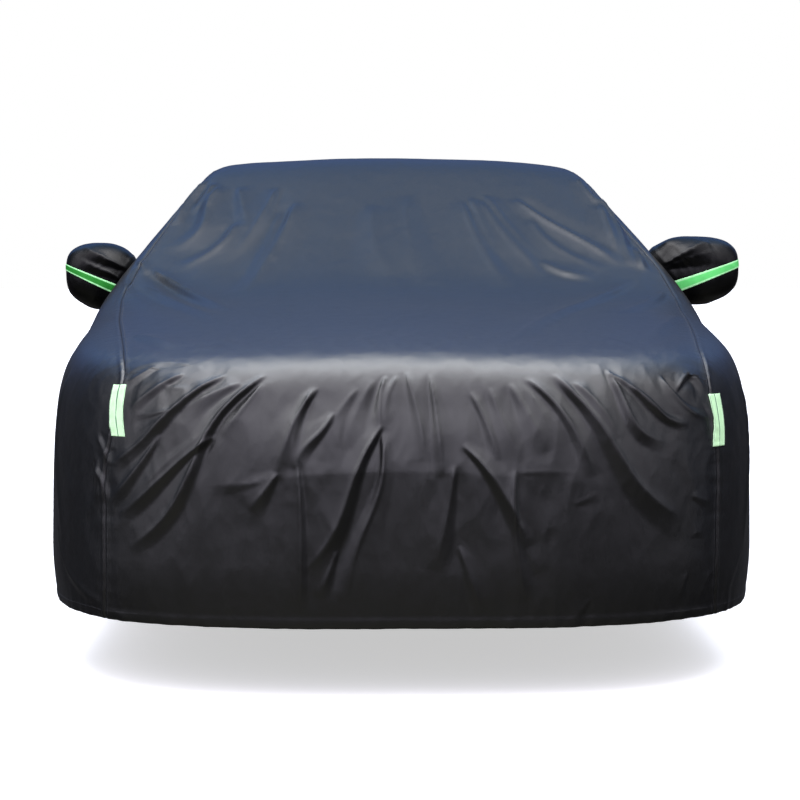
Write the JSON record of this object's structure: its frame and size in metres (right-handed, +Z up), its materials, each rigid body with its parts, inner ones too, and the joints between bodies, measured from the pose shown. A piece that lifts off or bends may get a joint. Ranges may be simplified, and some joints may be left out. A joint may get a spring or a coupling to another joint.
{
  "type": "fitted car cover",
  "caption": "Fitted outdoor cover for a saloon car: a hollow sewn cloth shell in soft folds, with a pocket for each door mirror and pale green reflective strips.",
  "frame": {"origin": "the point under the top of the roof where the car's roof carries the cover, midway across", "axes": "+Z up, +Y from the nose to the tail, +X to the right of someone who faces the nose"},
  "size_m": [2.0965, 4.8251, 1.2618],
  "materials": {
    "cover_cloth": "satin, tightly woven and coated",
    "reflective_strip": "matt, retroreflective"
  },
  "bodies": {
    "root": {"centre_panel": "cover_cloth", "side_panel_left": "cover_cloth", "side_panel_right": "cover_cloth", "mirror_pocket_left": "cover_cloth", "mirror_pocket_right": "cover_cloth", "front_strip_left": "reflective_strip", "front_strip_right": "reflective_strip", "mirror_strip_left": "reflective_strip", "mirror_strip_right": "reflective_strip"}
  },
  "joints": []
}
